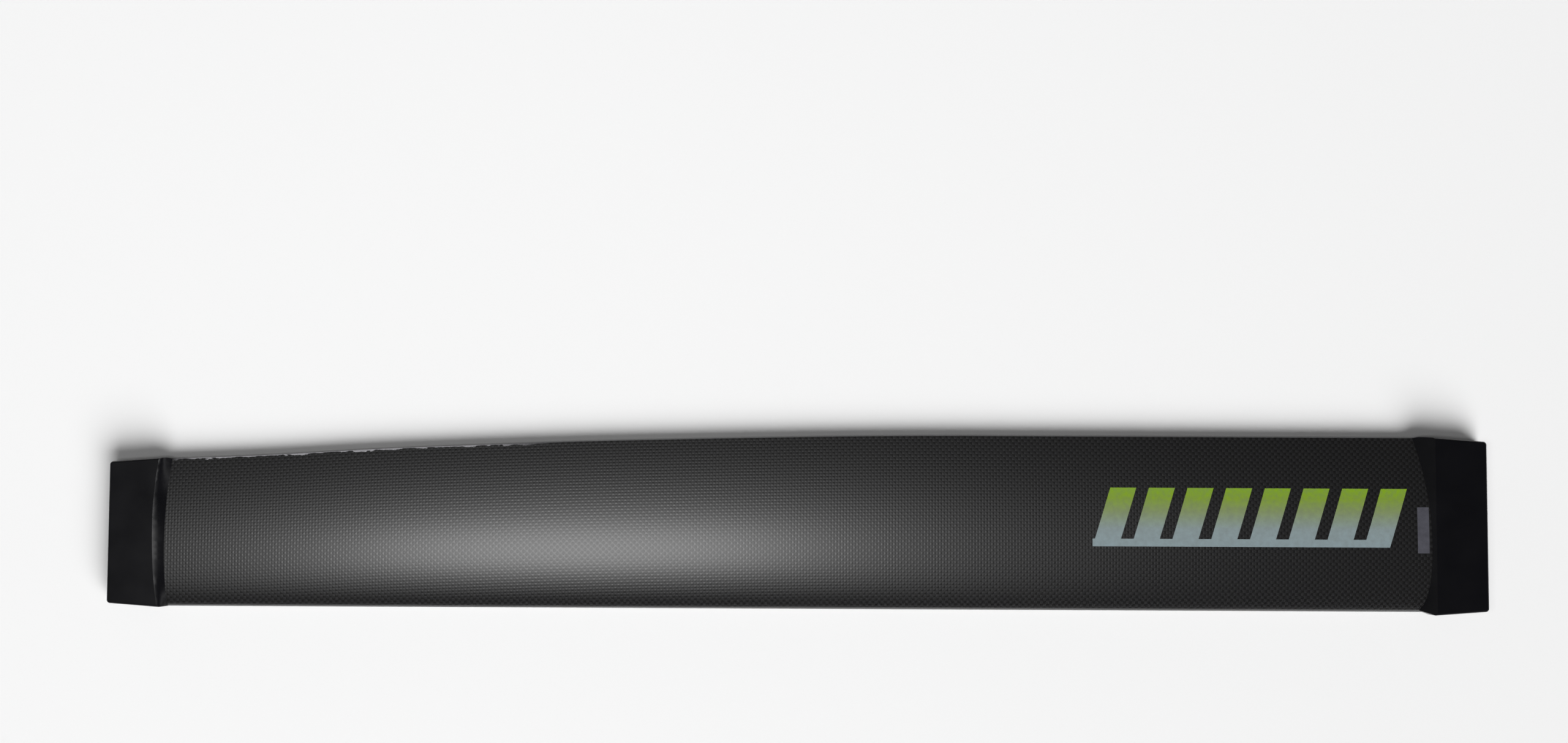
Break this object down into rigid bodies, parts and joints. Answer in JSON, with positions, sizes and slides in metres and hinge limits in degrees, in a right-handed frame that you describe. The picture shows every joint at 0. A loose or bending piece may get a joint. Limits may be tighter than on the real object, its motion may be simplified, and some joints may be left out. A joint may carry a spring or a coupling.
{
  "type": "kite hydrofoil mast",
  "caption": "Flat, straight mast with a symmetric aerofoil section, a slightly tapered chord and a tapered plug with threaded inserts at each end.",
  "frame": {"origin": "centre of the underside of the bounding box, with the mast lying on its port side", "axes": "+X up the mast towards the board plug, -Y towards the leading edge, +Z to starboard"},
  "size_m": [0.9, 0.1164, 0.018],
  "materials": {
    "carbon_weave_clear_coat": "plain-weave carbon fibre under a satin clear coat",
    "black_moulded_epoxy": "moulded black, polished",
    "unidirectional_carbon": "cured prepreg, unpainted",
    "structural_foam": "closed-cell foam, cut",
    "stainless_steel": "turned",
    "label_film": "blank film",
    "graphic_film": "printed film, lime running to grey-blue"
  },
  "bodies": {
    "root": {"starboard_shell": "carbon_weave_clear_coat", "port_shell": "carbon_weave_clear_coat", "board_plug": "black_moulded_epoxy", "fuselage_plug": "black_moulded_epoxy", "leading_edge_bead": "unidirectional_carbon", "trailing_edge_strip": "unidirectional_carbon", "starboard_spar_cap": "unidirectional_carbon", "port_spar_cap": "unidirectional_carbon", "front_shear_web": "unidirectional_carbon", "rear_shear_web": "unidirectional_carbon", "nose_core": "structural_foam", "spar_core": "structural_foam", "tail_core": "structural_foam", "board_insert_front": "stainless_steel", "board_insert_rear": "stainless_steel", "fuselage_insert_front": "stainless_steel", "fuselage_insert_rear": "stainless_steel", "serial_label": "label_film", "starboard_graphic": "graphic_film", "port_graphic": "graphic_film"}
  },
  "joints": []
}
